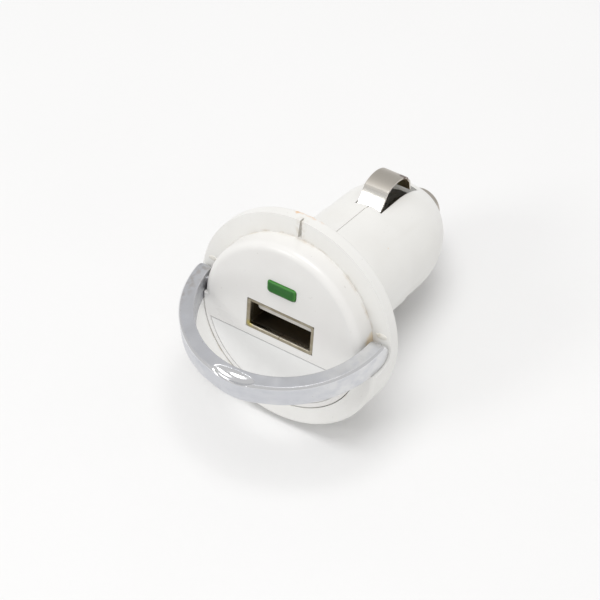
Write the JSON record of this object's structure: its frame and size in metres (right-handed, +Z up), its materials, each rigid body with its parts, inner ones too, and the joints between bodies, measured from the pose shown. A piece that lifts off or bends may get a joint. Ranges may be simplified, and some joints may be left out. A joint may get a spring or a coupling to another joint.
{
  "type": "car usb charger plug",
  "caption": "Round car power-socket plug with a USB-A socket in its face, a folding half-ring pull, sprung side contacts and a sprung tip contact.",
  "frame": {"origin": "on the plug's own axis, at the flange's back face, where the barrel begins", "axes": "+Z up from the table that the plug lies on; the plug's axis lies in the YZ plane and runs from the face (-Y, raised) to the tip (+Y, dipped by 11.5 degrees); +X to the right as the face is seen"},
  "size_m": [0.0378, 0.0602, 0.0374],
  "materials": {
    "white_plastic": "satin",
    "green_lens": "clear",
    "label_film": "matt",
    "chrome": "chromed",
    "nickel": "nickel plated",
    "steel": "bright",
    "board": "lacquered",
    "white_insulator": "satin",
    "gold_contact": "gold plated",
    "black_resin": "matt",
    "ferrite": "matt",
    "copper": "enamelled",
    "blue_sleeve": "shrink sleeve"
  },
  "bodies": {
    "plug": {"housing_left": "white_plastic", "housing_right": "white_plastic", "front_cap": "white_plastic", "light_lens": "green_lens", "label_film": "label_film", "left_pin": "steel", "right_pin": "steel", "tip_spring": "steel", "spring_plate": "nickel", "circuit_board": "board", "usb_shell": "nickel", "usb_tongue": "white_insulator", "usb_contacts": "gold_contact", "converter_chip": "black_resin", "inductor_core": "ferrite", "inductor_coil": "copper", "output_capacitor": "blue_sleeve", "input_capacitor": "blue_sleeve", "diode": "black_resin", "resistors": "black_resin", "status_led": "green_lens", "ground_wires": "copper"},
    "ring": {"pull_ring": "chrome"},
    "top_strip": {"top_contact": "nickel"},
    "bottom_strip": {"bottom_contact": "nickel"},
    "tip": {"tip_contact": "nickel"}
  },
  "joints": [
    {"name": "ring_hinge", "type": "hinge", "parent": "plug", "child": "ring", "pos_m": [0, -0.00442, 0.00211], "axis": [1, 0, 0], "range_deg": [-103, 0]},
    {"name": "top_strip_flex", "type": "hinge", "parent": "plug", "child": "top_strip", "pos_m": [0, 0.0148, 0.00513], "axis": [1, 0, 0], "range_deg": [-20.5, 0], "stiffness_Nm_per_rad": 0.11},
    {"name": "bottom_strip_flex", "type": "hinge", "parent": "plug", "child": "bottom_strip", "pos_m": [0, 0.01167, -0.01046], "axis": [1, 0, 0], "range_deg": [0, 20.5], "stiffness_Nm_per_rad": 0.11},
    {"name": "tip_press", "type": "slide", "parent": "plug", "child": "tip", "axis": [0, 0.9804, -0.1972], "range_m": [-0.002, 0], "stiffness_N_per_m": 1000, "springref_m": 0.001, "deforming": ["tip_spring"]}
  ]
}
